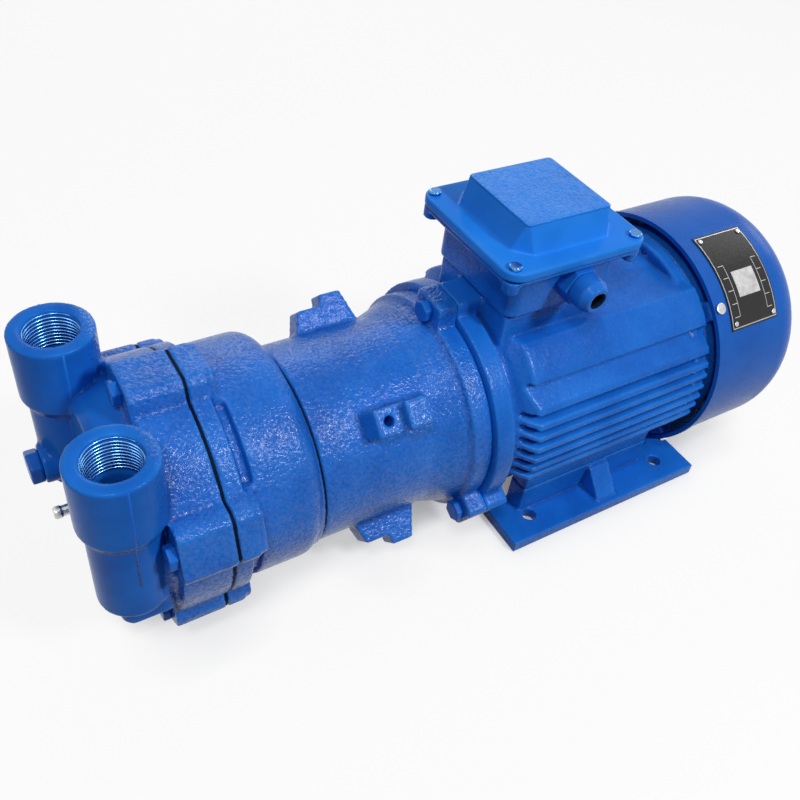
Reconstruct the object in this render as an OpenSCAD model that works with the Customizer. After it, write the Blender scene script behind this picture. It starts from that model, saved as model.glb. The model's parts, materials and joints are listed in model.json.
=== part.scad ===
// Liquid ring vacuum pump, close coupled to a foot mounted motor.
// X runs along the shaft from the pump cover to the fan cover, Z is up.
// The origin is the centre of the foot bolt pattern, on the plane the feet stand on.

/* [Feet] */
// Height of the shaft axis above the feet
axis_h = 90; // [88:1:100]
// Foot bolt spacing across the shaft
foot_a = 140; // [136:1:150]
// Foot bolt spacing along the shaft
foot_b = 125; // [110:1:132]
// Diameter of the foot bolt holes
foot_hole_d = 10; // [8:0.5:12]
// Length of each foot plate along the shaft
foot_len = 176; // [170:1:180]
// Thickness of the foot plates
foot_t = 9; // [7:0.5:12]

/* [Stations along the shaft] */
// Foot centre to the rear end of the motor frame
frame_rear = 62; // [58:1:66]
// Length of the motor frame
frame_len = 180; // [172:1:190]
// Thickness of the adapter flange at the motor
flange_t = 14; // [12:1:18]
// Length of the adapter from its flange to the pump casing
adapter_len = 98; // [94:1:110]
// Length of the impeller casing
casing_len = 61; // [56:1:70]
// Length of the port cover
cover_len = 51; // [48:1:60]
// Thickness of the flat gaskets
gasket_t = 1.5; // [1:0.25:2.5]

/* [Pump] */
// Height of the casing centre above the shaft axis
eccentric = 7; // [6:0.25:8]
// Radius of the impeller casing bore
casing_bore_r = 65; // [64:0.5:66]
// Wall thickness of the impeller casing
casing_wall = 7.5; // [7:0.5:9]
// Number of impeller blades
blade_n = 14; // [10:1:18]
// Thickness of the impeller blades
blade_t = 3; // [2.5:0.25:4]
// Smallest gap between the blade tips and the casing
tip_gap = 0.8; // [0.5:0.1:1.5]
// Thickness of the port plate
plate_t = 4; // [3.5:0.5:6]
// Distance between the two ports
port_pitch = 104; // [100:1:110]
// Height of the port faces above the shaft axis
port_rise = 93.5; // [90:0.5:100]
// Thread bore of the ports
port_bore_d = 30.3; // [26:0.1:31]
// Diameter of the port collars
port_od = 47; // [44:0.5:50]

/* [Motor] */
// Radius over the cooling fins
fin_r = 84; // [82:0.5:86]
// Radius of the stator seat in the frame
stator_r = 65; // [63:0.5:66]
// Length of the stator core
core_len = 112; // [100:1:113]
// Radius of the rotor core
rotor_r = 39.6; // [36:0.2:41]
// Outer radius of the fan cover
fan_cover_r = 89; // [88:0.5:92]
// Length of the fan cover
fan_cover_len = 95; // [92:1:105]
// Sheet thickness of the fan cover
sheet_t = 2; // [1.5:0.25:2.5]
// Number of fan blades
fan_blade_n = 9; // [5:1:12]

/* [Terminal box] */
// Foot centre to the box centre along the shaft
box_x = -62; // [-66:1:-56]
// Length of the lid along the shaft
lid_len = 106; // [102:1:112]
// Width of the lid across the shaft
lid_w = 100; // [98:1:108]
// Height of the lid top above the shaft axis
lid_rise = 149; // [144:1:156]
// Thread diameter of the cable gland
gland_d = 16; // [14:1:18]

/* [Fits] */
// Radial clearance of seated parts
fit = 0.05; // [0.02:0.01:0.1]
// Radial clearance of screws in their holes
screw_gap = 0.15; // [0.05:0.05:0.3]
// Clearance between turning and standing faces
run_gap = 0.4; // [0.3:0.05:0.6]

/* [Hidden] */
$fn = 64;
eps = 0.01;

// Stations along X, from the motor to the pump cover
x_rear = frame_rear;
x_front = x_rear - frame_len;
x_flange = x_front - flange_t;
x_adapter = x_flange - adapter_len;
x_casing1 = x_adapter - gasket_t;
x_casing0 = x_casing1 - casing_len;
x_cover1 = x_casing0 - gasket_t;
x_cover0 = x_cover1 - cover_len;
x_port = x_cover0 + 2;

// Pump castings
casing_r = casing_bore_r + casing_wall;
rim_r = casing_r + 4;
boss_angles = [for (i = [0:4]) 90 + 72 * i];
boss_r = casing_r + 4.3;
boss_w = 36;
boss_out = rim_r + 9.5;
boss_len = 30;
cover_rim_t = 28;
cover_bolt_r = 4;
plate_r = casing_bore_r + 4;
chamber_r = casing_bore_r - 1;
rear_wall = 10;
x_spigot = x_casing1 - rear_wall;
spigot_r = 45;
adapter_r = 64;
adapter_wall = 5;
collar_h = 43;
neck_r = port_od / 2 - 3.5;
passage_r = port_bore_d / 2 - 1.2;
thread_len = 26;
port_y = port_pitch / 2;
port_z = axis_h + port_rise;
neck_low = axis_h + 2;
screw_pcd_r = 51;
screw_angles = [45, 135, 225, 315];
shield_angles = [0, 90, 180, 270];
shield_pcd_r = 73.5;

// Impeller and seal
x_imp0 = x_casing0 + plate_t + run_gap;
x_imp1 = x_spigot - run_gap;
tip_r = casing_bore_r - eccentric - tip_gap;
hub_r = 22;
hub_pocket = 9;
seal_pocket = 15;
seal_pocket_r = 17.6;
shaft_r = 12;
imp_shaft_r = 10;
seal_bore_r = 19;
seal_ring_len = 8;

// Motor
ear_angles = [90, 210, 330];
ear_bolt_r = 79;
ear_out = 88;
ear_w = 26;
frame_r = 72;
front_ring_r = 79;
frame_spigot_r = stator_r + 2;
spigot_len = 6;
fin_t = 4.2;
fin_heights = [55, 37, 28, 19, 10, 1, -8, -17];
fin_start = 17;
fin_slope = 13;
core_x0 = -85;
core_x1 = core_x0 + core_len;
air_gap = run_gap;
stator_in_r = rotor_r + air_gap;
rotor_shaft_r = 16;
end_ring_t = 7;
bearing_r = 12.5;
front_out_r = 31;
front_w = 17;
rear_out_r = 26;
rear_w = 15;
x_front_bearing = x_flange - 18;
x_rear_bearing = x_rear - 20;
shield_t = 15;
shield_r = min(frame_r + 8, fan_cover_r - sheet_t - 1);
fan_shaft_r = 10;
x_fan = x_rear + 20;
fan_tip_r = 70;
fan_len = 34;
x_cover_front = x_rear + 3;
x_cover_rear = x_cover_front + fan_cover_len;
fan_round = 28;
cover_screw_x = x_cover_front + 5;
plate_x0 = x_cover_front + 14;
plate_x1 = plate_x0 + 46;

// Feet
pad_z = axis_h - 59;
web_in = 48;
web_out = 64;
web_x0 = -foot_len / 2 + 20;
web_x1 = x_rear - 12;
foot_edge = foot_a / 2 + 18;
foot_bolt_x = 42;
foot_bolt_y = 55;
foot_bolt_head = pad_z - 9;

// Terminal box
box_z = axis_h + 88.5;
box_l = lid_len - 26;
box_w = lid_w - 20;
box_h = 34;
box_wall = 4;
lid_z = box_z + gasket_t + box_h + gasket_t;
lid_t = 6;
lid_top = axis_h + lid_rise;
lid_screw_x = lid_len / 2 - 7.5;
lid_screw_y = lid_w / 2 - 7.5;
gland_z = axis_h + 109;
gland_x = box_x + 5;

// Cylinder along the shaft direction, centred on the shaft axis
module rod(x0, x1, r) {
    translate([x0, 0, axis_h])
        rotate([0, 90, 0])
            cylinder(h = x1 - x0, r = r);
}

// Cylinder along the shaft direction at a given place across it
module rod_at(x0, x1, r, y, z, sides = 64) {
    translate([x0, y, z])
        rotate([0, 90, 0])
            cylinder(h = x1 - x0, r = r, $fn = sides);
}

// Flat outline carried from x0 to x1; outline x becomes Y and outline y becomes Z
module slab(x0, x1, rise = 0) {
    translate([x0, 0, axis_h + rise])
        rotate([90, 0, 90])
            linear_extrude(x1 - x0)
                children();
}

// Profile of radius and station turned about the shaft axis
module turned(rise = 0) {
    translate([0, 0, axis_h + rise])
        rotate([0, 90, 0])
            rotate_extrude()
                children();
}

// Rectangle of the profile plane between two radii and two stations
module band(r0, r1, x0, x1) {
    translate([r0, x0])
        square([r1 - r0, x1 - x0]);
}

// Rectangle with rounded corners about the origin
module round_rect(l, w, r) {
    square([l - 2 * r, w], center = true);
    square([l, w - 2 * r], center = true);
    for (x = [-1, 1], y = [-1, 1])
        translate([x * (l / 2 - r), y * (w / 2 - r)])
            circle(r);
}

// Places children on a circle about the shaft axis, in the plane of the outline
module ring_of(angles, r) {
    for (a = angles)
        rotate(a)
            translate([r, 0])
                children();
}

// Rods on a circle about an axis that may stand above the shaft
module rods_of(angles, pcd_r, x0, x1, r, rise = 0, sides = 64) {
    for (a = angles)
        rod_at(x0, x1, r, pcd_r * cos(a), axis_h + rise + pcd_r * sin(a), sides);
}

// Hexagon head with its shank; the head sits on the side of lower X
module hex_bolt_x(x, len, r, y, z) {
    rod_at(x - 1.3 * r, x, 1.85 * r, y, z, 6);
    rod_at(x - eps, x + len, r, y, z);
}

// Rim of the cover and casing with its bolt bosses
module rim_outline() {
    circle(rim_r);
    boss_outline();
}

// Flat topped bosses that widen towards the rim
module boss_outline(trim = 0) {
    top = boss_w / 2 - 4 - trim;
    foot = boss_w / 2 + 7 - trim;
    low = boss_out - 30;
    high = boss_out - trim;
    ring_of(boss_angles, 0)
        polygon([
            [low, -foot], [high - 4, -top - 3], [high, -top + 1],
            [high, top - 1], [high - 4, top + 3], [low, foot]
        ]);
}

// One port with its collar and the neck that leads down the front of the cover
module port_horn(side) {
    translate([x_port, side * port_y, 0]) {
        translate([0, 0, port_z - collar_h])
            cylinder(h = collar_h, d = port_od);
        translate([0, 0, neck_low])
            cylinder(h = port_z - collar_h - neck_low + eps, r = neck_r);
        translate([0, 0, port_z - collar_h - 6])
            cylinder(h = 6 + eps, r1 = neck_r, r2 = port_od / 2);
        translate([0, 0, neck_low - neck_r + 6])
            cylinder(h = neck_r - 6 + eps, r = neck_r);
        translate([0, 0, neck_low - neck_r])
            cylinder(h = 6 + eps, r1 = neck_r - 6, r2 = neck_r);
    }
    translate([x_port + 5, side * (port_y - 5), neck_low - neck_r - 8])
        linear_extrude(26)
            round_rect(32, 40, 8);
}

// Thread bore and flow passage of one port
module port_passage(side) {
    translate([x_port, side * port_y, 0]) {
        translate([0, 0, port_z - thread_len])
            cylinder(h = thread_len + 1, d = port_bore_d);
        translate([0, 0, neck_low])
            cylinder(h = port_z - neck_low - 20, r = passage_r);
        translate([0, 0, neck_low])
            sphere(passage_r);
    }
}

// Inside of the cover, split by a middle wall into a suction and a discharge chamber
module cover_chambers() {
    difference() {
        turned(eccentric)
            polygon([
                [0, x_cover1 + 1], [chamber_r, x_cover1 + 1], [chamber_r, x_cover1 - 5],
                [rim_r - 7.5, x_cover1 - 7], [rim_r - 7.5, x_cover1 - cover_rim_t + 6],
                [chamber_r - 9, x_cover0 + 9], [chamber_r - 11, x_cover0 + 5], [0, x_cover0 + 5]
            ]);
        translate([x_cover0, -3, axis_h - 100])
            cube([cover_len + 5, 6, 200]);
        rods_of(boss_angles, boss_r, x_cover1 - boss_len, x_cover1 + 5, 9, eccentric);
        rod_at(x_cover0, x_cover0 + 16, 11, fill_y, fill_z);
    }
}

nipple_z = axis_h + 7;
fill_y = 44;
fill_z = axis_h + 2;
drain_y = 0;
drain_z = axis_h - 38;
x_nose = x_cover0 - 11;

module port_cover() {
    color("royalblue")
    difference() {
        union() {
            slab(x_cover1 - cover_rim_t, x_cover1, eccentric)
                circle(rim_r);
            slab(x_cover1 - boss_len, x_cover1, eccentric)
                boss_outline();
            turned(eccentric)
                polygon([
                    [0, x_cover1 - 5], [rim_r - 8, x_cover1 - 5], [rim_r - 8, x_cover1 - cover_rim_t],
                    [chamber_r - 2, x_cover0 + 5], [chamber_r - 7, x_cover0], [0, x_cover0]
                ]);
            for (side = [-1, 1])
                port_horn(side);
            translate([x_port + 4, -port_y, axis_h])
                cube([6, port_pitch, port_z - collar_h + 8 - axis_h]);
            rod_at(x_nose, x_cover0 + 2, 10, 0, nipple_z);
            rod_at(x_nose - 9, x_cover0 + 2, 12, fill_y, fill_z);
            rod_at(x_cover0 - 4, x_cover0 + 2, 11, drain_y, drain_z);
        }
        cover_chambers();
        for (side = [-1, 1])
            port_passage(side);
        rods_of(boss_angles, boss_r, x_cover1 - boss_len - 1, x_cover1 + 1, cover_bolt_r + screw_gap, eccentric);
        rod_at(x_nose - 1, x_cover0 + 5, 3, 0, nipple_z);
        rod_at(x_nose - 10, x_cover0 + 12, 6 + screw_gap, fill_y, fill_z);
        rod_at(x_cover0 - 5, x_cover0 + 12, 5 + screw_gap, drain_y, drain_z);
    }
}

module cover_gasket() {
    color("dimgray")
    difference() {
        slab(x_cover1, x_casing0, eccentric)
            difference() {
                gasket_outline();
                circle(plate_r - 3);
            }
        rods_of(boss_angles, boss_r, x_cover1 - 1, x_casing0 + 1, cover_bolt_r + screw_gap, eccentric);
    }
}

// The gasket follows the rim a little inside its edge
module gasket_outline() {
    circle(rim_r - 0.8);
    boss_outline(0.8);
}

// Curved window of the port plate between two radii and two angles
module port_window(r0, r1, a0, a1) {
    intersection() {
        difference() {
            circle(r1);
            circle(r0);
        }
        polygon([[0, 0], for (a = [a0:(a1 - a0) / 4:a1]) 2 * r1 * [cos(a), sin(a)]]);
    }
}

module port_plate() {
    color("gray")
    difference() {
        rod_at(x_casing0, x_casing0 + plate_t, plate_r - fit, 0, axis_h + eccentric);
        slab(x_casing0 - 1, x_casing0 + plate_t + 1) {
            port_window(hub_r + 4, tip_r - 6, 140, 230);
            port_window(hub_r + 4, tip_r - 18, 310, 350);
        }
    }
}

module impeller_casing() {
    color("royalblue")
    difference() {
        union() {
            slab(x_casing0, x_casing0 + 11, eccentric)
                rim_outline();
            slab(x_casing0, x_casing0 + 16, eccentric)
                boss_outline(1);
            turned(eccentric) {
                band(0, casing_r - 4, x_casing0 + 5, x_casing1 - 14);
                band(0, casing_r, x_casing0 + 18, x_casing1 - 14);
                band(0, casing_r - 12, x_casing0 + 18, x_casing1 - 2);
                translate([casing_r - 12, x_casing1 - 14])
                    circle(12);
            }
            rod(x_casing1 - 16, x_casing1, adapter_r + 1.5);
        }
        rod_at(x_casing0 + eps, x_spigot, casing_bore_r, 0, axis_h + eccentric);
        rod_at(x_casing0 - 1, x_casing0 + plate_t, plate_r, 0, axis_h + eccentric);
        rod(x_spigot - 1, x_casing1 + 1, spigot_r + fit);
        rods_of(boss_angles, boss_r, x_casing0 - 1, x_casing0 + 12, cover_bolt_r + screw_gap, eccentric);
        rods_of(screw_angles, screw_pcd_r, x_spigot - 1, x_casing1 + 1, 3 + screw_gap);
        rods_of(screw_angles, screw_pcd_r, x_spigot - 1, x_spigot + 6.5, 5 + screw_gap);
    }
}

module casing_gasket() {
    color("dimgray")
    difference() {
        rod(x_casing1, x_adapter, adapter_r - 0.6);
        rod(x_casing1 - 1, x_adapter + 1, spigot_r + 1);
        rods_of(screw_angles, screw_pcd_r, x_casing1 - 1, x_adapter + 1, 3 + screw_gap);
    }
}

// One of the four lugs that stand out from the adapter
module adapter_lug(a) {
    lug_x = x_adapter + 50;
    lug_out = adapter_r + 21;
    lug_w = 17;
    translate([0, 0, axis_h])
        rotate([a - 90, 0, 0])
            difference() {
                translate([0, lug_w / 2, 0])
                    rotate([90, 0, 0])
                        linear_extrude(lug_w)
                            polygon([
                                [lug_x - 22, adapter_r - 4], [lug_x - 16, lug_out - 7], [lug_x + 1, lug_out - 7],
                                [lug_x + 1, lug_out], [lug_x + 16, lug_out], [lug_x + 24, adapter_r - 4]
                            ]);
                translate([lug_x - 8, 0, lug_out - 19])
                    cylinder(h = 30, r = 3.3);
            }
}

module ear_outline(r) {
    circle(r);
    ring_of(ear_angles, ear_out - 15)
        round_rect(30, ear_w, 4);
}

module motor_adapter() {
    color("royalblue")
    difference() {
        union() {
            turned()
                polygon([
                    [0, x_adapter], [adapter_r, x_adapter], [adapter_r, x_flange - 22], [71, x_flange],
                    [0, x_flange]
                ]);
            slab(x_flange, x_front)
                ear_outline(74);
            rod(x_spigot, x_adapter + eps, spigot_r);
            rod(x_front - eps, x_front + spigot_len - 1, frame_spigot_r - fit);
            for (a = screw_angles)
                adapter_lug(a);
        }
        turned() {
            band(0, 15, x_spigot - 1, x_front + 20);
            band(0, seal_bore_r + fit, x_spigot - 1, x_spigot + 10);
            band(0, adapter_r - adapter_wall, x_adapter + 8, x_front_bearing - 4);
            band(seal_bore_r + 5, spigot_r - 5, x_spigot + 6, x_front_bearing - 4);
            band(0, front_out_r + fit, x_front_bearing, x_front + 20);
            band(front_out_r + 6, frame_spigot_r - 3.5, x_front_bearing + 2, x_front + 20);
            band(0, front_out_r + 8, x_front_bearing + front_w + 1, x_front + 20);
        }
        rods_of(screw_angles, screw_pcd_r, x_adapter - 1, x_adapter + 20, 3 + screw_gap);
        rods_of(ear_angles, ear_bolt_r, x_flange - 1, x_front + 1, 4 + screw_gap);
        translate([x_adapter + 40, 0, axis_h - adapter_r - 1])
            cylinder(h = 20, r = 6);
    }
}

// Blade outline that curves forward from the hub to the tip
module blade_outline() {
    bend_r = 48;
    intersection() {
        translate([hub_r - 6, -bend_r])
            difference() {
                circle(bend_r);
                circle(bend_r - blade_t);
            }
        circle(tip_r);
        translate([hub_r - 6, -60])
            square([80, 90]);
    }
}

module impeller() {
    color("peru")
    difference() {
        union() {
            rod(x_imp0, x_imp1, hub_r);
            slab(x_imp0, x_imp1)
                for (i = [0:blade_n - 1])
                    rotate(i * 360 / blade_n)
                        blade_outline();
        }
        rod(x_imp0 - 1, x_imp1 + 1, imp_shaft_r + fit);
        rod(x_imp0 - 1, x_imp0 + hub_pocket, 13);
        rod(x_imp1 - seal_pocket, x_imp1 + 1, seal_pocket_r);
        translate([x_imp0, -3 - fit, axis_h])
            cube([x_imp1 - x_imp0, 6 + 2 * fit, imp_shaft_r + 3]);
    }
}

x_seal0 = x_imp1 - seal_pocket;
x_shaft0 = x_imp0 + hub_pocket + 0.5;

module impeller_key() {
    color("silver")
        translate([x_shaft0 + 0.5, -3, axis_h + imp_shaft_r - 3.5])
            cube([x_seal0 - x_shaft0 - 1.5, 6, 6.2]);
}

module impeller_washer() {
    color("silver")
    difference() {
        rod(x_shaft0 - 2.5, x_shaft0 - 0.5, 12.5);
        rod(x_shaft0 - 4, x_shaft0 + 1, 4 + screw_gap);
    }
}

module impeller_bolt() {
    color("silver")
        hex_bolt_x(x_shaft0 - 2.5, 22, 4, 0, axis_h);
}

module seal_ring() {
    color("dimgray")
    turned()
        band(shaft_r + fit, seal_pocket_r - 0.6, x_spigot - seal_ring_len, x_spigot - fit);
}

module seal_seat() {
    color("whitesmoke")
    turned()
        band(shaft_r + 1, seal_bore_r, x_spigot, x_spigot + 9);
}

// Closed coils stand for the helical spring of the shaft seal
module seal_spring() {
    color("silver")
    turned()
        for (i = [0:1])
            translate([(shaft_r + seal_pocket_r) / 2, x_seal0 + 1.6 + i * 3.1])
                circle(1.45);
}

module cover_bolts() {
    color("royalblue")
    for (a = boss_angles)
        hex_bolt_x(x_cover1 - boss_len, boss_len + gasket_t + 10, cover_bolt_r,
            boss_r * cos(a), axis_h + eccentric + boss_r * sin(a));
}

module casing_screws() {
    color("silver")
    difference() {
        union() {
            rods_of(screw_angles, screw_pcd_r, x_spigot + 0.5, x_spigot + 6.5, 5);
            rods_of(screw_angles, screw_pcd_r, x_spigot + 6, x_adapter + 9, 3);
        }
        rods_of(screw_angles, screw_pcd_r, x_spigot - 1, x_spigot + 3.5, 2.9, 0, 6);
    }
}

module flange_bolts() {
    color("royalblue")
    for (a = ear_angles)
        hex_bolt_x(x_flange, flange_t + 14, 4, ear_bolt_r * cos(a), axis_h + ear_bolt_r * sin(a));
}

module drain_plug() {
    color("royalblue")
        hex_bolt_x(x_cover0 - 4, 11, 5, drain_y, drain_z);
}

module fill_plug() {
    color("royalblue")
        hex_bolt_x(x_nose - 9, 9, 6, fill_y, fill_z);
}

module service_nipple() {
    color("silver")
    difference() {
        union() {
            rod_at(x_nose - 13, x_nose, 3.2, 0, nipple_z);
            rod_at(x_nose - 2.5, x_nose, 5, 0, nipple_z, 6);
            rod_at(x_nose - 12, x_nose - 9, 3.7, 0, nipple_z);
            rod_at(x_nose - eps, x_cover0, 3 - fit, 0, nipple_z);
        }
        rod_at(x_nose - 14, x_cover0 + 1, 1.6, 0, nipple_z);
    }
}

// Cross section of the frame with its horizontal fins and flat shoulders
module shoulder_outline() {
    intersection() {
        circle(fin_r);
        union() {
            for (h = fin_heights)
                translate([0, h])
                    square([2 * fin_r, fin_t], center = true);
            for (side = [0, 1])
                mirror([side, 0])
                    polygon([
                        [0, 71], [47, 71], [66, 57], [66, 53], [58, 51], [75, 39], [75, 35], [40, 30], [0, 30]
                    ]);
        }
    }
}

module motor_frame() {
    color("royalblue")
    difference() {
        union() {
            rod(x_front, x_rear, frame_r);
            rod(x_front, x_front + 14, front_ring_r);
            rod(x_rear - 10, x_rear, shield_r);
            intersection() {
                slab(x_front + 4, x_rear)
                    shoulder_outline();
                turned()
                    polygon([
                        [0, x_front], [frame_r - 4, x_front + fin_start],
                        [fin_r + 1, x_front + fin_start + fin_slope], [fin_r + 1, x_rear], [0, x_rear]
                    ]);
            }
            slab(x_front, x_front + 17)
                ring_of(ear_angles, ear_out - 15)
                    round_rect(30, ear_w, 4);
            translate([box_x - box_l / 2 + 3, -box_w / 2 + 4, axis_h + 50])
                cube([box_l - 6, box_w - 8, box_z - axis_h - 50]);
            for (side = [0, 1])
                mirror([0, side, 0])
                    translate([web_x0, web_in, pad_z])
                        cube([web_x1 - web_x0, web_out - web_in, 32]);
        }
        rod(x_front - 1, x_rear + 1, stator_r);
        rod(x_front - 1, x_front + spigot_len, frame_spigot_r);
        rod(x_rear - spigot_len, x_rear + 1, frame_spigot_r);
        rods_of(ear_angles, ear_bolt_r, x_front - 1, x_front + 15, 4 + screw_gap);
        rods_of(shield_angles, shield_pcd_r, x_rear - 9, x_rear + 1, 3 + screw_gap);
        translate([box_x, 0, axis_h])
            cylinder(h = box_z - axis_h + 1, r = 26);
        for (x = [-1, 1], y = [-1, 1])
            translate([x * foot_bolt_x, y * foot_bolt_y, pad_z - 1])
                cylinder(h = 12, r = 4 + screw_gap);
    }
}

// One foot: plate, thick upright web and a gusset in the middle
module foot() {
    difference() {
        union() {
            translate([-foot_len / 2, web_in, 0])
                cube([foot_len, foot_edge - web_in, foot_t]);
            translate([web_x0, web_in, 0])
                cube([web_x1 - web_x0, web_out - web_in, pad_z]);
            translate([-8, 0, 0])
                rotate([90, 0, 90])
                    linear_extrude(18)
                        polygon([
                            [web_out - 1, 0], [foot_edge - 5, 0], [foot_edge - 5, foot_t + 2],
                            [web_out + 3, pad_z - 2], [web_out - 1, pad_z - 2]
                        ]);
        }
        for (x = [-1, 1]) {
            translate([x * foot_b / 2, foot_a / 2, -1])
                cylinder(h = foot_t + 2, d = foot_hole_d);
            translate([x * foot_bolt_x, foot_bolt_y, -1])
                cylinder(h = foot_bolt_head + 1, r = 6.5 + screw_gap);
            translate([x * foot_bolt_x, foot_bolt_y, 0])
                cylinder(h = pad_z + 1, r = 4 + screw_gap);
        }
    }
}

module left_foot() {
    color("royalblue")
        mirror([0, 1, 0])
            foot();
}

module right_foot() {
    color("royalblue")
        foot();
}

module foot_bolts() {
    color("silver")
    for (x = [-1, 1], y = [-1, 1])
        translate([x * foot_bolt_x, y * foot_bolt_y, foot_bolt_head])
            difference() {
                union() {
                    translate([0, 0, -8])
                        cylinder(h = 8, r = 6.5);
                    translate([0, 0, -1])
                        cylinder(h = 20, r = 4);
                }
                translate([0, 0, -9])
                    cylinder(h = 5, r = 3.4, $fn = 6);
            }
}

slot_n = 24;
slot_depth = 15;

module slot_outline(trim) {
    for (i = [0:slot_n - 1])
        rotate(i * 360 / slot_n)
            translate([stator_in_r + 2 + trim, -2.6 + trim])
                square([slot_depth - 2 * trim, 5.2 - 2 * trim]);
}

module stator_core() {
    color("darkgray")
    slab(core_x0, core_x1)
        difference() {
            circle(stator_r - fit);
            circle(stator_in_r);
            slot_outline(0);
        }
}

module stator_windings() {
    color("orangered")
    union() {
        slab(core_x0 - 1, core_x1 + 1)
            slot_outline(0.2);
        for (x = [core_x0 - 20, core_x1 + 0.5])
            turned()
                band(stator_in_r + 2, stator_r - 6, x, x + 19.5);
    }
}

module rotor_core() {
    color("darkgray")
    turned()
        band(rotor_shaft_r + fit, rotor_r, core_x0, core_x1);
}

module rotor_end_rings() {
    color("lightgray")
    union() {
        turned() {
            band(26, rotor_r - 1, core_x0 - end_ring_t, core_x0);
            band(26, rotor_r - 1, core_x1, core_x1 + end_ring_t);
        }
        for (i = [0:7], x = [core_x0 - end_ring_t - 4, core_x1 + end_ring_t - 0.5])
            translate([x, 0, axis_h])
                rotate([45 * i, 0, 0])
                    translate([0, -1.5, 28])
                        cube([4.5, 3, rotor_r - 31]);
    }
}

module shaft() {
    color("silver")
    difference() {
        turned() {
            band(0, imp_shaft_r, x_shaft0, x_seal0 + eps);
            band(0, shaft_r, x_seal0, x_front_bearing);
            band(0, bearing_r, x_front_bearing - eps, x_front_bearing + front_w + 1);
            band(0, bearing_r + 2.5, x_front_bearing + front_w, core_x0 - 12);
            band(0, rotor_shaft_r, core_x0 - 12 - eps, core_x1 + eps);
            band(0, bearing_r + 2.5, core_x1, x_rear_bearing);
            band(0, bearing_r, x_rear_bearing - eps, x_rear_bearing + rear_w + 2);
            band(0, fan_shaft_r, x_rear_bearing + rear_w, x_fan + 32);
        }
        translate([x_shaft0 - 1, -3 - fit, axis_h + imp_shaft_r - 3.5])
            cube([x_seal0 - x_shaft0 + 0.5, 6 + 2 * fit, 10]);
        rod(x_shaft0 - 1, x_shaft0 + 21, 4 + screw_gap);
        turned()
            band(fan_shaft_r - 1, fan_shaft_r + 1, x_fan + 27, x_fan + 28.6);
    }
}

// Rings, balls and cage of a deep groove ball bearing
function ball_r(out_r) = (out_r - bearing_r) * 0.29;
function pitch_r(out_r) = (out_r + bearing_r) / 2;

module bearing_ring(x, w, out_r, r0, r1) {
    turned()
        difference() {
            band(r0, r1, x, x + w);
            translate([pitch_r(out_r), x + w / 2])
                circle(ball_r(out_r) + 0.3);
        }
}

module bearing_outer(x, w, out_r) {
    color("silver")
        bearing_ring(x, w, out_r, out_r - (out_r - bearing_r) * 0.29, out_r);
}

module bearing_inner(x, w, out_r) {
    color("silver")
        bearing_ring(x, w, out_r, bearing_r + fit, bearing_r + (out_r - bearing_r) * 0.29);
}

module ball_places(out_r) {
    for (i = [0:7])
        rotate([45 * i, 0, 0])
            translate([0, 0, pitch_r(out_r)])
                children();
}

module bearing_balls(x, w, out_r) {
    color("whitesmoke")
        translate([x + w / 2, 0, axis_h])
            ball_places(out_r)
                sphere(ball_r(out_r));
}

module bearing_cage(x, w, out_r) {
    color("goldenrod")
    difference() {
        turned()
            band(pitch_r(out_r) - 1.2, pitch_r(out_r) + 1.2, x + w / 2 - 6, x + w / 2 + 6);
        translate([x + w / 2, 0, axis_h])
            ball_places(out_r)
                sphere(ball_r(out_r) + 0.1);
    }
}

module front_outer_ring() {
    bearing_outer(x_front_bearing, front_w, front_out_r);
}

module front_inner_ring() {
    bearing_inner(x_front_bearing, front_w, front_out_r);
}

module front_balls() {
    bearing_balls(x_front_bearing, front_w, front_out_r);
}

module front_cage() {
    bearing_cage(x_front_bearing, front_w, front_out_r);
}

module rear_outer_ring() {
    bearing_outer(x_rear_bearing, rear_w, rear_out_r);
}

module rear_inner_ring() {
    bearing_inner(x_rear_bearing, rear_w, rear_out_r);
}

module rear_balls() {
    bearing_balls(x_rear_bearing, rear_w, rear_out_r);
}

module rear_cage() {
    bearing_cage(x_rear_bearing, rear_w, rear_out_r);
}

module wave_spring() {
    color("silver")
    turned()
        band(rear_out_r - 4, rear_out_r - 0.3, x_rear_bearing + rear_w, x_rear_bearing + rear_w + 2);
}

module rear_end_shield() {
    color("royalblue")
    difference() {
        union() {
            rod(x_rear, x_rear + shield_t, shield_r);
            rod(x_rear - spigot_len + 1, x_rear + eps, frame_spigot_r - fit);
            rod(x_rear_bearing - 2, x_rear + shield_t, rear_out_r + 7);
            slab(x_rear + 3, x_rear + 13)
                intersection() {
                    circle(fan_cover_r - sheet_t - 0.2);
                    ring_of(screw_angles, fan_cover_r - sheet_t - 9)
                        square([20, 14], center = true);
                }
        }
        turned() {
            band(0, rear_out_r + fit, x_rear_bearing - 3, x_rear_bearing + rear_w + 2);
            band(0, fan_shaft_r + 1.5, x_rear - 5, x_rear + 30);
            band(rear_out_r + 7, frame_spigot_r - 7, x_rear - 20, x_rear);
        }
        rods_of(shield_angles, shield_pcd_r, x_rear - 1, x_rear + shield_t + 1, 3 + screw_gap);
        for (a = screw_angles)
            translate([cover_screw_x, 0, axis_h])
                rotate([a, 0, 0])
                    translate([0, 0, fan_cover_r - 14])
                        cylinder(h = 20, r = 2 + screw_gap);
    }
}

module shield_bolts() {
    color("silver")
    for (a = shield_angles)
        translate([0, shield_pcd_r * cos(a), axis_h + shield_pcd_r * sin(a)])
            rotate([0, 90, 0]) {
                translate([0, 0, x_rear - 8])
                    cylinder(h = shield_t + 8, r = 3);
                translate([0, 0, x_rear + shield_t])
                    cylinder(h = 4, r = 5.5, $fn = 6);
            }
}

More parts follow.
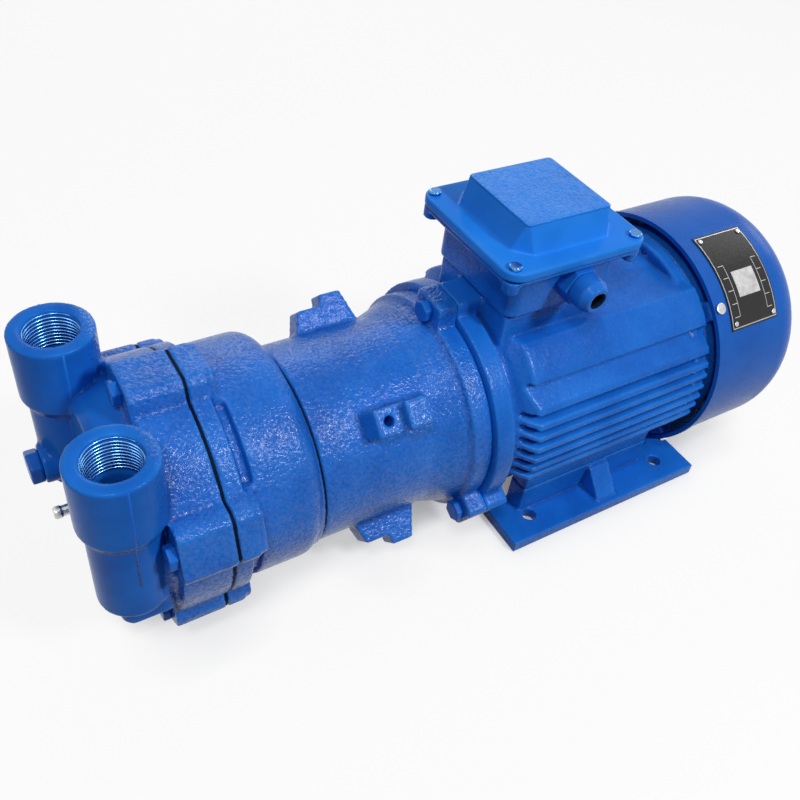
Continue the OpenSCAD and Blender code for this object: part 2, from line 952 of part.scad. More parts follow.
module cooling_fan() {
    color("darkslategray")
    difference() {
        union() {
            rod(x_fan, x_fan + 26, 17);
            rod(x_fan, x_fan + 3, fan_tip_r);
            for (i = [0:fan_blade_n - 1])
                translate([x_fan + 1, 0, axis_h])
                    rotate([i * 360 / fan_blade_n, 0, 0])
                        translate([0, -1.25, 12])
                            cube([fan_len, 2.5, fan_tip_r - 13]);
        }
        rod(x_fan - 1, x_fan + 27, fan_shaft_r + fit);
        turned()
            polygon([[0, x_fan + 26], [18, x_fan + 26], [30, x_fan + 60], [0, x_fan + 60]]);
    }
}

module fan_circlip() {
    color("silver")
    difference() {
        turned()
            band(fan_shaft_r - 1 + fit, fan_shaft_r + 3, x_fan + 27 + fit, x_fan + 28.6 - fit);
        translate([x_fan + 20, -3, axis_h - 20])
            cube([20, 6, 20]);
    }
}

// Fan cover profile at a given inset from its outer skin
module hood_profile(inset, x0) {
    band(0, fan_cover_r - inset, x0, x_cover_rear - fan_round);
    band(0, fan_cover_r - fan_round, x0, x_cover_rear - inset);
    translate([fan_cover_r - fan_round, x_cover_rear - fan_round])
        circle(fan_round - inset);
}

module fan_cover() {
    color("royalblue")
    difference() {
        union() {
            turned()
                intersection() {
                    hood_profile(0, x_cover_front);
                    band(0, 2 * fan_cover_r, 0, 2 * x_cover_rear);
                }
            rod(x_cover_front, x_cover_front + 4, fan_cover_r + 1.2);
        }
        turned()
            intersection() {
                hood_profile(sheet_t, x_cover_front - 1);
                band(0, 2 * fan_cover_r, 0, 2 * x_cover_rear);
            }
        difference() {
            turned()
                for (r = [14:9:60])
                    band(r, r + 5.5, x_cover_rear - sheet_t - 1, x_cover_rear + 1);
            for (i = [0:3])
                translate([x_cover_rear - 10, 0, axis_h])
                    rotate([45 * i, 0, 0])
                        translate([0, -2, -100])
                            cube([20, 4, 200]);
        }
        for (a = screw_angles)
            translate([cover_screw_x, 0, axis_h])
                rotate([a, 0, 0])
                    translate([0, 0, fan_cover_r - 14])
                        cylinder(h = 20, r = 2 + screw_gap);
    }
}

module fan_cover_screws() {
    color("silver")
    for (a = screw_angles)
        translate([cover_screw_x, 0, axis_h])
            rotate([a, 0, 0]) {
                translate([0, 0, fan_cover_r - 12])
                    cylinder(h = 13.3, r = 2);
                translate([0, 0, fan_cover_r + 1.25])
                    cylinder(h = 2, r = 4);
            }
}

plate_a0 = 10;
plate_a1 = 57;

module nameplate() {
    color("black")
    translate([0, 0, axis_h])
        rotate([0, 90, 0])
            rotate([0, 0, 180 + plate_a0])
                rotate_extrude(angle = plate_a1 - plate_a0)
                    band(fan_cover_r + fit, fan_cover_r + 0.8, plate_x0, plate_x1);
}

module nameplate_rivets() {
    color("silver")
    for (x = [plate_x0 + 4, plate_x1 - 4], a = [plate_a0 + 3, plate_a1 - 3])
        translate([x, 0, axis_h])
            rotate([a, 0, 0])
                translate([0, 0, fan_cover_r + 0.85])
                    cylinder(h = 0.9, r = 1.8);
}

// Upright box of the given outline, standing at the terminal box centre
module at_box(z, h) {
    translate([box_x, 0, z])
        linear_extrude(h)
            children();
}

module box_gasket() {
    color("dimgray")
    at_box(box_z, gasket_t)
        difference() {
            round_rect(box_l - 8, box_w - 10, 5);
            circle(26.5);
        }
}

module lid_screw_places() {
    for (x = [-1, 1], y = [-1, 1])
        translate([x * lid_screw_x, y * lid_screw_y])
            children();
}

module terminal_box() {
    box_floor = box_z + gasket_t;
    color("royalblue")
    difference() {
        union() {
            at_box(box_floor, box_h)
                round_rect(box_l, box_w, 9);
            at_box(box_floor + box_h - 3.2, 3.2)
                round_rect(lid_len - 4, lid_w - 4, 10);
            at_box(box_floor + box_h - 8.5, 8.5)
                lid_screw_places()
                    circle(5.4);
        }
        at_box(box_floor + 4, box_h)
            round_rect(box_l - 2 * box_wall, box_w - 2 * box_wall, 6);
        at_box(box_floor - 1, 6)
            circle(14);
        at_box(box_floor + box_h - 11, 12)
            lid_screw_places()
                circle(2 + screw_gap);
        translate([gland_x, 0, gland_z])
            rotate([90, 0, 0])
                cylinder(h = box_w, r = gland_d / 2 + fit);
    }
}

module lid_gasket() {
    color("dimgray")
    at_box(lid_z - gasket_t, gasket_t)
        difference() {
            round_rect(lid_len - 6, lid_w - 6, 10);
            round_rect(box_l - 2 * box_wall, box_w - 2 * box_wall, 6);
            lid_screw_places()
                circle(2 + screw_gap);
        }
}

// Rectangle with its corners cut off
module cut_rect(w, h, cut) {
    a = w / 2;
    b = h / 2;
    polygon([
        [a - cut, b], [a, b - cut], [a, cut - b], [a - cut, -b],
        [cut - a, -b], [-a, cut - b], [-a, b - cut], [cut - a, b]
    ]);
}

// Raised middle of the lid: a low frustum with a triangular facet at each corner
module lid_crown(shrink, z0, z1) {
    hull() {
        at_box(z0, 0.1)
            cut_rect(box_l - 1 - 2 * shrink, box_w - 3 - 2 * shrink, 13);
        at_box(z1 - 0.1, 0.1)
            cut_rect(box_l - 17 - 2 * shrink, box_w - 19 - 2 * shrink, 1.5);
    }
}

module terminal_lid() {
    color("royalblue")
    difference() {
        union() {
            at_box(lid_z, lid_t)
                round_rect(lid_len, lid_w, 12);
            lid_crown(0, lid_z + 1, lid_top);
        }
        lid_crown(4, lid_z - 1, lid_top - 4);
        at_box(lid_z - 1, lid_t + 2)
            lid_screw_places()
                circle(2 + screw_gap);
    }
}

module lid_screws() {
    color("royalblue")
    for (x = [-1, 1], y = [-1, 1])
        translate([box_x + x * lid_screw_x, y * lid_screw_y, 0]) {
            translate([0, 0, lid_z - 9])
                cylinder(h = lid_t + 9, r = 2);
            translate([0, 0, lid_z + lid_t])
                cylinder(h = 2.4, r = 4);
        }
}

block_z = box_z + gasket_t + 4;
stud_pitch = 14;

module stud_places() {
    for (x = [-1, 0, 1], y = [-1, 1])
        translate([box_x + 12 + x * stud_pitch, y * 8, 0])
            children();
}

module terminal_block() {
    color("saddlebrown")
    difference() {
        translate([box_x - 10, -16, block_z])
            cube([44, 32, 10]);
        stud_places()
            translate([0, 0, block_z + 2])
                cylinder(h = 10, r = 2 + screw_gap);
    }
}

module terminal_studs() {
    color("goldenrod")
    stud_places() {
        translate([0, 0, block_z + 2])
            cylinder(h = 20, r = 2);
        translate([0, 0, block_z + 12])
            cylinder(h = 3.2, r = 4, $fn = 6);
    }
}

module terminal_links() {
    color("goldenrod")
    for (x = [-1, 0, 1])
        translate([box_x + 12 + x * stud_pitch, 0, block_z + 10])
            difference() {
                translate([-4.5, -12.5, 0])
                    cube([9, 25, 1.9]);
                for (y = [-1, 1])
                    translate([0, y * 8, -1])
                        cylinder(h = 4, r = 2 + screw_gap);
            }
}

// Cylinder along -Y on the gland axis, from y0 outwards
module gland_rod(y0, y1, r, sides = 64) {
    translate([gland_x, -y0, gland_z])
        rotate([90, 0, 0])
            cylinder(h = y1 - y0, r = r, $fn = sides);
}

gland_y = box_w / 2;

module gland_body() {
    color("royalblue")
    difference() {
        union() {
            gland_rod(gland_y - 9, gland_y + 1, gland_d / 2);
            gland_rod(gland_y, gland_y + 10, gland_d / 2 + 5, 6);
            gland_rod(gland_y + 9, gland_y + 18, gland_d / 2);
        }
        gland_rod(gland_y - 10, gland_y + 19, gland_d / 2 - 2);
    }
}

module gland_locknut() {
    color("silver")
    difference() {
        gland_rod(gland_y - 8, gland_y - box_wall, gland_d / 2 + 4, 6);
        gland_rod(gland_y - 10, gland_y, gland_d / 2 + screw_gap);
    }
}

module gland_nut() {
    color("royalblue")
    difference() {
        union() {
            gland_rod(gland_y + 10 + fit, gland_y + 20, gland_d / 2 + 3);
            translate([gland_x, -gland_y - 20, gland_z])
                rotate([90, 0, 0])
                    cylinder(h = 5, r1 = gland_d / 2 + 3, r2 = gland_d / 2);
        }
        gland_rod(gland_y + 9, gland_y + 19, gland_d / 2 + screw_gap);
        gland_rod(gland_y + 9, gland_y + 30, gland_d / 2 - 2.5);
    }
}

module gland_seal() {
    color("dimgray")
    difference() {
        gland_rod(gland_y + 8, gland_y + 18.5, gland_d / 2 - 2.1);
        gland_rod(gland_y + 7, gland_y + 20, gland_d / 2 - 4);
    }
}

port_cover();
cover_gasket();
port_plate();
impeller_casing();
casing_gasket();
motor_adapter();
impeller();
impeller_key();
impeller_washer();
impeller_bolt();
seal_ring();
seal_seat();
seal_spring();
cover_bolts();
casing_screws();
flange_bolts();
drain_plug();
fill_plug();
service_nipple();
motor_frame();
left_foot();
right_foot();
foot_bolts();
stator_core();
stator_windings();
rotor_core();
rotor_end_rings();
shaft();
front_outer_ring();
front_inner_ring();
front_balls();
front_cage();
rear_outer_ring();
rear_inner_ring();
rear_balls();
rear_cage();
wave_spring();
rear_end_shield();
shield_bolts();
cooling_fan();
fan_circlip();
fan_cover();
fan_cover_screws();
nameplate();
nameplate_rivets();
terminal_box();
box_gasket();
terminal_lid();
lid_gasket();
lid_screws();
terminal_block();
terminal_studs();
terminal_links();
gland_body();
gland_nut();
gland_seal();
gland_locknut();
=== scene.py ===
"""Looks of a close coupled liquid ring vacuum pump with twin top ports and a finned foot mounted motor.

The solids of the part carry the shapes. This script gives every solid its finish, rounds the edges of
the castings as sand and thick enamel leave them, and adds the small pieces that the solids leave plain.
Lengths are in metres, in the part's own frame: +X along the shaft towards the fan, +Z up.
"""

import json
import math

import bpy
from mathutils import Matrix, Vector


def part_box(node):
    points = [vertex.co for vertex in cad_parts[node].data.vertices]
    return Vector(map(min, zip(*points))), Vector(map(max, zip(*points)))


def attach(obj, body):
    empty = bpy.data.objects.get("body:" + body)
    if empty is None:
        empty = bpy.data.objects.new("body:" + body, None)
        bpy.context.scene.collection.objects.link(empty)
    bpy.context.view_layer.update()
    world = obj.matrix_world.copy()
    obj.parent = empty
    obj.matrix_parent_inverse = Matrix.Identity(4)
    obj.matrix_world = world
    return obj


MM = 0.001

# The photograph's viewpoint
CAMERA_PLACE = Vector((-0.39924, -0.34566, 0.50292))
CAMERA_AZIMUTH = math.radians(36.64)
CAMERA_ELEVATION = math.radians(43.44)
CAMERA_ROLL = math.radians(8.53)
CAMERA_LENS = 39.73
CAMERA_SENSOR = 36.0

# Enamel colours, linear, each from deep to pale
COMMON_BLUE = ((0.006, 0.105, 0.50, 1.0), (0.009, 0.140, 0.60, 1.0), (0.014, 0.170, 0.68, 1.0))
# A paler copy of the common blue: painted light on the lid
LIT_LID_BLUE = ((0.012, 0.190, 0.72, 1.0), (0.016, 0.220, 0.80, 1.0), (0.022, 0.245, 0.85, 1.0))
# A darker copy of the common blue: painted shade on the fan cover
SHADED_FAN_BLUE = ((0.006, 0.092, 0.44, 1.0), (0.008, 0.110, 0.50, 1.0), (0.010, 0.130, 0.55, 1.0))
TINT_STOPS = (0.30, 0.50, 0.72)

# Specular level of plain enamel, and of a casting's brightest grains
GLOSS = 0.12
GLINT = 0.46

# Widths of the enamel's patches of colour and sheen, the casting's swell and sand, and the paint's ripple
TINT_PATCH = 35 * MM
SHEEN_PATCH = 6 * MM
CAST_SWELL = 9 * MM
CAST_SAND = 2 * MM
PEEL_RIPPLE = 1.1 * MM
SWELL_DEPTH = 1.1  # of the swell, against the sand's

# What multiplies the paint by how pointed the shape is: painted shade in corners, nothing on flats, painted
# highlight on edges
SHADE_HIGHLIGHT_TINTS = ((0.46, (0.55, 0.55, 0.62)), (0.50, (1, 1, 1)), (0.57, (1.6, 1.3, 1.12)))

NOISE_SPAN = (0.3, 0.7)  # where most values of a noise lie
SHEET_WAVE = 3.2 * MM  # gives the wave texture a ridge each millimetre
SHEET_DEPTH = 0.2 * MM

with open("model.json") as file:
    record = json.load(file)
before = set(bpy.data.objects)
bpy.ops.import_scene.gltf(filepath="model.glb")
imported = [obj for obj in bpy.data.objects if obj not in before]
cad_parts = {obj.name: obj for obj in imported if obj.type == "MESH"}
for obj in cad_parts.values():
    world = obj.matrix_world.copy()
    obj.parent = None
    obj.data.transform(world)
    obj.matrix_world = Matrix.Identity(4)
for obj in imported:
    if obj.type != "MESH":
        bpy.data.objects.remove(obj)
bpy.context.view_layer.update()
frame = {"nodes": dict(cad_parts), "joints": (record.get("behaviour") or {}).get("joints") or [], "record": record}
nodes = frame["nodes"]
slot_of = {row["node"]: row["material_slot"] for row in frame["record"]["subparts"]}
mount_of = {row["name"]: row for row in frame["record"]["mounts"]}

# Places and sizes that the frame gives
AXIS_Z = next(row["pos_m"][2] for row in frame["joints"] if row["name"] == "rotor_spin")
PORT_X, PORT_Y = mount_of["discharge_port"]["pos_m"][:2]
BORE_R = mount_of["discharge_port"]["dims"]["r_mm"] * MM
PORT_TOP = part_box("port_cover")[1].z
LID_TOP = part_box("terminal_lid")[1].z
PLATE_X = [corner.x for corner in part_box("nameplate")]


# Materials


def new_material(name):
    """An empty material with its node tree and its shader."""
    material = bpy.data.materials.new(name)
    material.use_nodes = True
    tree = material.node_tree
    return material, tree, tree.nodes["Principled BSDF"]


def place_of(tree):
    """Coordinates that stay with the piece, in metres."""
    for node in tree.nodes:
        if node.bl_idname == "ShaderNodeTexCoord":
            return node
    return tree.nodes.new("ShaderNodeTexCoord")


def noise(tree, grain, detail=3.0, stretch=None):
    """Even noise with grains about grain metres wide, drawn out along an axis where stretch says so."""
    node = tree.nodes.new("ShaderNodeTexNoise")
    node.inputs["Scale"].default_value = 1.0 / grain
    node.inputs["Detail"].default_value = detail
    start = place_of(tree).outputs["Object"]
    if stretch:
        mapping = tree.nodes.new("ShaderNodeMapping")
        mapping.inputs["Scale"].default_value = stretch
        tree.links.new(start, mapping.inputs["Vector"])
        start = mapping.outputs["Vector"]
    tree.links.new(start, node.inputs["Vector"])
    return node.outputs["Fac"]


def ramp(tree, value, stops):
    """Colours or greys picked by value from stops of (place, colour)."""
    node = tree.nodes.new("ShaderNodeValToRGB")
    points = node.color_ramp.elements
    while len(points) < len(stops):
        points.new(0.5)
    for point, (place, colour) in zip(points, stops):
        point.position = place
        point.color = colour if len(colour) == 4 else (*colour, 1.0)
    tree.links.new(value, node.inputs["Fac"])
    return node.outputs["Color"]


def remap(tree, value, source=(0.0, 1.0), target=(0.0, 1.0)):
    """Value held within the span source and turned into the span target."""
    node = tree.nodes.new("ShaderNodeMapRange")
    ends = ("From Min", "From Max", "To Min", "To Max")
    for end, number in zip(ends, (*source, *target)):
        node.inputs[end].default_value = number
    tree.links.new(value, node.inputs["Value"])
    return node.outputs["Result"]


def spread(tree, value, span):
    """A noise turned into the whole span."""
    return remap(tree, value, NOISE_SPAN, span)


def along(tree, axis, start, end):
    """0 below start and 1 above end along one axis of the part, in metres."""
    split = tree.nodes.new("ShaderNodeSeparateXYZ")
    tree.links.new(place_of(tree).outputs["Object"], split.inputs["Vector"])
    return remap(tree, split.outputs[axis], (start, end))


def combine(tree, operation, first, second):
    """One value from two."""
    node = tree.nodes.new("ShaderNodeMath")
    node.operation = operation
    tree.links.new(first, node.inputs[0])
    tree.links.new(second, node.inputs[1])
    return node.outputs["Value"]


def limited(tree, value, share):
    """Value times share, or value alone where there is no share."""
    return combine(tree, "MULTIPLY", value, share) if share else value


def bump(tree, height, depth, under=None):
    """A relief depth metres deep on top of the relief under."""
    node = tree.nodes.new("ShaderNodeBump")
    node.inputs["Strength"].default_value = 1.0
    node.inputs["Distance"].default_value = depth
    tree.links.new(height, node.inputs["Height"])
    if under:
        tree.links.new(under, node.inputs["Normal"])
    return node.outputs["Normal"]


def coat(tree, shader, tint, sheen, rough, relief):
    """Gives a shader its colour, its relief and a roughness that varies in patches sheen metres wide."""
    tree.links.new(tint, shader.inputs["Base Color"])
    tree.links.new(spread(tree, noise(tree, sheen), rough), shader.inputs["Roughness"])
    tree.links.new(relief, shader.inputs["Normal"])


def edge_highlight_corner_shade(tree, tint):
    """Painted highlight on sharp edges and painted shade in corners, from the shape itself."""
    shape = tree.nodes.new("ShaderNodeNewGeometry").outputs["Pointiness"]
    mix = tree.nodes.new("ShaderNodeMix")
    mix.data_type = "RGBA"
    mix.blend_type = "MULTIPLY"
    mix.inputs["Factor"].default_value = 1.0
    tree.links.new(tint, mix.inputs["A"])
    tree.links.new(ramp(tree, shape, SHADE_HIGHLIGHT_TINTS), mix.inputs["B"])
    return mix.outputs["Result"]


def glints(tree, most, share):
    """The gloss of a casting: low, and up to most on its grains, only where share is above 0."""
    grain = limited(tree, noise(tree, CAST_SAND), share)
    return spread(tree, grain, (0.5 * GLOSS, most))


def enamel(
    name, cast=0.0, peel=0.0, rough=(0.15, 0.27), worn=False, tints=COMMON_BLUE, where=None, glint=GLINT
):
    """Glossy blue enamel. cast is how deep the sand casting shows through, peel how deep the paint ripples.

    where is (axis, start, end): the casting's grain grows from none at start to its full depth at end.
    glint is the gloss of the grains.
    """
    material, tree, shader = new_material(name)
    tint = ramp(tree, noise(tree, TINT_PATCH, detail=5.0), list(zip(TINT_STOPS, tints)))
    # painted shade in corners and painted highlight on sharp edges
    if worn:
        tint = edge_highlight_corner_shade(tree, tint)
    relief = None
    if cast:
        share = along(tree, *where) if where else None
        tree.links.new(glints(tree, glint, share), shader.inputs["Specular IOR Level"])
        for grain, depth in ((CAST_SWELL, SWELL_DEPTH * cast), (CAST_SAND, cast)):
            relief = bump(tree, limited(tree, noise(tree, grain, detail=2.0), share), depth, relief)
    else:
        shader.inputs["Specular IOR Level"].default_value = GLOSS
    if peel:
        relief = bump(tree, noise(tree, PEEL_RIPPLE, detail=1.5), peel, relief)
    coat(tree, shader, tint, SHEEN_PATCH, rough, relief)
    return material


def patchy(tree, colour, shade, patch, pure):
    """The colour with patches that go down to shade of it. Noise above pure gives the pure colour."""
    dark = tuple(shade * part for part in colour)
    return ramp(tree, noise(tree, patch, detail=4.0), ((NOISE_SPAN[0], dark), (pure, colour)))


def metal(name, colour, rough=(0.18, 0.34), grain=1.5 * MM, depth=0.03 * MM, stretch=None):
    """Bare metal with a grain of its own."""
    material, tree, shader = new_material(name)
    tint = patchy(tree, colour, shade=0.72, patch=8 * MM, pure=0.65)
    relief = bump(tree, noise(tree, grain, stretch=stretch), depth)
    coat(tree, shader, tint, sheen=3 * MM, rough=rough, relief=relief)
    shader.inputs["Metallic"].default_value = 1.0
    return material


def dull(name, colour, rough=(0.45, 0.65), grain=1.0 * MM, depth=0.05 * MM, gloss=0.3):
    """Plastic, rubber, carbon or ceramic with a fine grain."""
    material, tree, shader = new_material(name)
    tint = patchy(tree, colour, shade=0.65, patch=5 * MM, pure=0.7)
    relief = bump(tree, noise(tree, grain, detail=2.0), depth)
    coat(tree, shader, tint, sheen=2 * MM, rough=rough, relief=relief)
    shader.inputs["Specular IOR Level"].default_value = gloss
    return material


def sheets(name, colour):
    """The edges of steel sheet stacked along the shaft."""
    material = metal(name, colour, (0.35, 0.5))
    tree = material.node_tree
    wave = tree.nodes.new("ShaderNodeTexWave")
    wave.inputs["Scale"].default_value = 1.0 / SHEET_WAVE
    tree.links.new(place_of(tree).outputs["Object"], wave.inputs["Vector"])
    relief = bump(tree, wave.outputs["Fac"], SHEET_DEPTH)
    tree.links.new(relief, tree.nodes["Principled BSDF"].inputs["Normal"])
    return material


# The finish of each material slot
FINISH = {
    "blue_casting": enamel("blue_casting", cast=0.70 * MM, peel=0.08 * MM, worn=True),
    "blue_enamel": enamel("blue_enamel", peel=0.04 * MM, rough=(0.20, 0.30)),
    "gasket_rubber": dull("gasket_rubber", (0.003, 0.006, 0.020), gloss=0.05),
    "machined_iron": metal("machined_iron", (0.34, 0.34, 0.35), (0.3, 0.45), stretch=(1, 0.1, 1)),
    "bronze": metal("bronze", (0.58, 0.37, 0.15), (0.3, 0.5)),
    "bright_steel": metal("bright_steel", (0.66, 0.66, 0.67)),
    "bearing_steel": metal("bearing_steel", (0.72, 0.72, 0.74), (0.08, 0.16)),
    "brass": metal("brass", (0.70, 0.50, 0.18)),
    "seal_carbon": dull("seal_carbon", (0.03, 0.03, 0.03), (0.3, 0.4)),
    "seal_ceramic": dull("seal_ceramic", (0.80, 0.77, 0.70), (0.15, 0.25)),
    "core_steel": sheets("core_steel", (0.30, 0.30, 0.32)),
    "winding_copper": metal(
        "winding_copper", (0.55, 0.20, 0.07), grain=0.8 * MM, depth=0.15 * MM, stretch=(0.1, 1, 1)
    ),
    "cast_aluminium": metal("cast_aluminium", (0.74, 0.74, 0.75), (0.35, 0.5), depth=0.1 * MM),
    "fan_plastic": dull("fan_plastic", (0.03, 0.03, 0.032)),
    "plate_black": dull("plate_black", (0.012, 0.012, 0.014), (0.22, 0.32), depth=0.02 * MM),
    "block_plastic": dull("block_plastic", (0.10, 0.05, 0.03), (0.3, 0.4)),
}

# Where the casting's grain sets in: behind the ports on the port cover, and on the top of the lid
COVER_GRAIN = ("X", PORT_X + 8 * MM, PORT_X + 20 * MM)
LID_GRAIN = ("Z", LID_TOP - 1.2 * MM, LID_TOP - 0.3 * MM)
FRAME_FINISH = enamel(
    "frame_casting", cast=0.22 * MM, peel=0.05 * MM, rough=(0.20, 0.30), worn=True, glint=0.20
)

# Nodes whose finish differs from their slot's
NODE_FINISH = {
    "port_cover": enamel("cover_casting", cast=0.80 * MM, peel=0.06 * MM, worn=True, where=COVER_GRAIN),
    "motor_frame": FRAME_FINISH,
    "terminal_box": FRAME_FINISH,
    "left_foot": FRAME_FINISH,
    "right_foot": FRAME_FINISH,
    # painted light: the lid takes a paler copy of the blue
    "terminal_lid": enamel(
        "lid_enamel", cast=0.55 * MM, rough=(0.15, 0.24), tints=LIT_LID_BLUE, where=LID_GRAIN
    ),
    # painted shade: the fan cover takes a darker copy of the blue
    "fan_cover": enamel("fan_enamel", peel=0.03 * MM, rough=(0.24, 0.34), tints=SHADED_FAN_BLUE),
    "lid_screws": metal("painted_steel", (0.10, 0.28, 0.62), (0.14, 0.24)),
}


def paint(piece, material):
    """Gives the whole piece one material."""
    piece.data.materials.clear()
    piece.data.materials.append(material)
    for face in piece.data.polygons:
        face.material_index = 0


# Castings


CASTINGS = {  # node: (grid of the new skin, passes of smoothing)
    "port_cover": (1.2 * MM, 4),
    "impeller_casing": (1.2 * MM, 4),
    "motor_adapter": (1.3 * MM, 4),
    "motor_frame": (1.4 * MM, 2),
    "rear_end_shield": (1.4 * MM, 3),
    "left_foot": (1.1 * MM, 4),
    "right_foot": (1.1 * MM, 4),
    "terminal_box": (1.1 * MM, 4),
    "terminal_lid": (0.8 * MM, 4),
    "cover_bolts": (0.6 * MM, 3),
    "flange_bolts": (0.6 * MM, 3),
    "drain_plug": (0.6 * MM, 3),
    "fill_plug": (0.7 * MM, 14),
    "lid_screws": (0.5 * MM, 3),
    "gland_body": (0.5 * MM, 3),
    "gland_nut": (0.5 * MM, 3),
    "service_nipple": (0.35 * MM, 2),
    "nameplate_rivets": (0.25 * MM, 3),
    "fan_cover_screws": (0.4 * MM, 3),
}
MOST_TRIANGLES = 170_000


def soften(piece, grid, passes):
    """Gives a casting the rounded edges and filled corners of a sand mould, with the solid's own shape."""
    skin = piece.modifiers.new("skin", "REMESH")
    skin.mode = "VOXEL"
    skin.voxel_size = grid
    skin.use_smooth_shade = True
    relax = piece.modifiers.new("relax", "SMOOTH")
    relax.factor = 0.5
    relax.iterations = passes
    triangles = 2 * shown_faces(piece)
    if triangles > MOST_TRIANGLES:
        thin = piece.modifiers.new("thin", "DECIMATE")
        thin.ratio = MOST_TRIANGLES / triangles


def shown_faces(piece):
    """The number of faces that a piece has with its modifiers."""
    seen = piece.evaluated_get(bpy.context.evaluated_depsgraph_get())
    mesh = seen.to_mesh()
    count = len(mesh.polygons)
    seen.to_mesh_clear()
    return count


for name, piece in nodes.items():
    paint(piece, NODE_FINISH.get(name, FINISH[slot_of[name]]))
    if name in CASTINGS:
        soften(piece, *CASTINGS[name])


# Small pieces that the solids leave plain


def add_mesh(name, points, faces, material, body, slot, smooth=True):
    """A new piece that rides on a body."""
    mesh = bpy.data.meshes.new(name)
    mesh.from_pydata(points, [], faces)
    mesh.update()
    piece = bpy.data.objects.new(name, mesh)
    bpy.context.collection.objects.link(piece)
    paint(piece, material)
    for face in mesh.polygons:
        face.use_smooth = smooth
    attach(piece, body)
    return piece


def swept(rings, closed=False):
    """Points and faces of a skin through rings of equal length, with flat ends unless it is closed."""
    size = len(rings[0])
    points = [point for ring in rings for point in ring]
    faces = []
    for start in range(len(rings) - (0 if closed else 1)):
        after = (start + 1) % len(rings)
        for i in range(size):
            j = (i + 1) % size
            faces.append((start * size + i, start * size + j, after * size + j, after * size + i))
    if not closed:
        faces.append(tuple(reversed(range(size))))
        faces.append(tuple(range((len(rings) - 1) * size, len(rings) * size)))
    return points, faces


def on_port(side, x, y, z):
    """A place from the axis of the near port, side -1, or the far port, side 1, at height z."""
    return (PORT_X + x, side * PORT_Y + y, z)


THREAD = metal("thread_enamel", (0.16, 0.42, 0.80), (0.16, 0.28))
THREAD_PITCH = 2.31 * MM
THREAD_DEPTH = 0.75 * MM
THREAD_SINK = 0.3 * MM  # how far the root goes into the wall
THREAD_DROP = 2.2 * MM  # from the port's top to the first turn
THREAD_ROOT = 0.42 * THREAD_PITCH  # half the width at the root
THREAD_CREST = 0.10 * THREAD_PITCH  # half the width at the crest
THREAD_TURNS = 10
THREAD_STEPS = 48  # in a turn
THREAD_FADE = 30  # steps in which it grows at one end and fades at the other


def port_thread(name, side):
    """The inside thread of one port."""
    last = THREAD_TURNS * THREAD_STEPS
    root = BORE_R + THREAD_SINK
    rings = []
    for step in range(last + 1):
        turn = 2 * math.pi * step / THREAD_STEPS
        fade = min(1.0, step / THREAD_FADE, (last - step) / THREAD_FADE)
        crest = BORE_R - THREAD_DEPTH * fade
        z = PORT_TOP - THREAD_DROP - THREAD_PITCH * step / THREAD_STEPS
        section = ((root, THREAD_ROOT), (crest, THREAD_CREST), (crest, -THREAD_CREST), (root, -THREAD_ROOT))
        rings.append([
            on_port(side, r * math.cos(turn), r * math.sin(turn), z + lift) for r, lift in section
        ])
    add_mesh(name, *swept(rings), THREAD, "housing", "blue_casting")


port_thread("near_port_thread", -1)
port_thread("far_port_thread", 1)


# The ridge's course down a port: distance from the port's axis, and height
PARTING_PATH = (
    (23.5 * MM, 182.4 * MM),
    (23.5 * MM, 140.5 * MM),
    (20.0 * MM, 134.5 * MM),
    (20.0 * MM, 104.0 * MM),
)
RIDGE_SINK = 0.6 * MM
RIDGE_RISE = 0.35 * MM
RIDGE_FOOT = 1.0 * MM  # half the width at the foot
RIDGE_CREST = 0.3 * MM  # half the width at the crest


def parting_line(name, side, face):
    """The low ridge that the halves of the mould leave down one side of a port."""
    rings = []
    for r, z in PARTING_PATH:
        foot, crest = face * (r - RIDGE_SINK), face * (r + RIDGE_RISE)
        section = ((-RIDGE_FOOT, foot), (-RIDGE_CREST, crest), (RIDGE_CREST, crest), (RIDGE_FOOT, foot))
        rings.append([on_port(side, x, y, z) for x, y in section])
    add_mesh(name, *swept(rings), FINISH["blue_enamel"], "housing", "blue_casting")


for port, side in (("near", -1), ("far", 1)):
    parting_line(port + "_port_parting_line", side, -1)
    parting_line(port + "_port_parting_line_back", side, 1)


def turned(place, outline, steps=48):
    """A ring round an axis along Y through place, from an outline of (radius, offset along Y)."""
    rings = []
    for step in range(steps):
        turn = 2 * math.pi * step / steps
        across, up = math.cos(turn), math.sin(turn)
        rings.append([(place[0] + r * across, place[1] + y, place[2] + r * up) for r, y in outline])
    return swept(rings, closed=True)


# The lip's section: radius, and depth behind the gland's mouth
LIP_OUTLINE = (
    (4.6 * MM, 0.9 * MM),
    (5.45 * MM, 0.6 * MM),
    (5.45 * MM, 6.2 * MM),
    (4.2 * MM, 6.2 * MM),
)


def gland_lip():
    """The rubber lip that shows in the mouth of the open cable gland."""
    low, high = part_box("gland_nut")
    mouth = ((low.x + high.x) / 2, low.y, (low.z + high.z) / 2)
    add_mesh("gland_lip", *turned(mouth, LIP_OUTLINE), FINISH["gasket_rubber"], "housing", "gasket_rubber")


gland_lip()


# Nameplate: angles are in degrees from the top of the fan cover towards -Y
COVER_R = 89 * MM
PLATE_FACE_R = COVER_R + 0.8 * MM
PLATE_ANGLES = (10.0, 57.0)
FIELD_SINK = 0.05 * MM
FIELD_RISE = 0.12 * MM

# Border: gap to the plate's edges and width of its lines, along the shaft and in degrees
BORDER_GAP = 1.0 * MM
BORDER_LINE = 0.5 * MM
BORDER_GAP_ANGLE = 0.8
BORDER_LINE_ANGLE = 0.4

